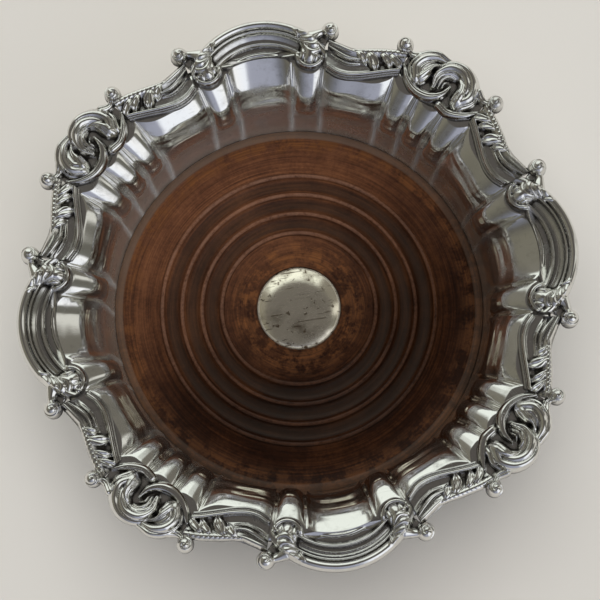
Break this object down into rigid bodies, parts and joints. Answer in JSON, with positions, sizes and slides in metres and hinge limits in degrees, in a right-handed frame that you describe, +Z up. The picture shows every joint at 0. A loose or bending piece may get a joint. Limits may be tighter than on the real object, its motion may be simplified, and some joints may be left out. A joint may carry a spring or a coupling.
{
  "type": "wine bottle coaster",
  "caption": "Round wine bottle coaster with a turned mahogany base, a bare centre boss, a fluted plated wall and a cast rim of reeded arches, leaves and shells",
  "frame": {"origin": "Centre of the underside of the baize, where the coaster rests on the table", "axes": "+Z up, the axis of the turned base; +X and +Y point at two of the reeded arches"},
  "size_m": [0.179, 0.179, 0.0489],
  "materials": {
    "mahogany": "polished, worn",
    "boss_silver": "polished, scratched",
    "wall_silver": "polished, worn",
    "mount_silver": "polished, dark in the hollows",
    "brass": "plain",
    "iron": "dull",
    "green_baize": "felted"
  },
  "bodies": {
    "root": {"turned_base": "mahogany", "centre_boss": "boss_silver", "boss_stem": "brass", "stem_washer": "brass", "stem_nut": "brass", "baize_pad": "green_baize", "fluted_wall": "wall_silver", "foot_wire": "wall_silver", "wall_nails": "iron", "arch_mount_1": "mount_silver", "arch_mount_2": "mount_silver", "arch_mount_3": "mount_silver", "arch_mount_4": "mount_silver", "rosette_mount_1": "mount_silver", "rosette_mount_2": "mount_silver", "rosette_mount_3": "mount_silver", "rosette_mount_4": "mount_silver", "leaf_mount_1": "mount_silver", "leaf_mount_2": "mount_silver", "leaf_mount_3": "mount_silver", "leaf_mount_4": "mount_silver", "leaf_mount_5": "mount_silver", "leaf_mount_6": "mount_silver", "leaf_mount_7": "mount_silver", "leaf_mount_8": "mount_silver"}
  },
  "joints": []
}
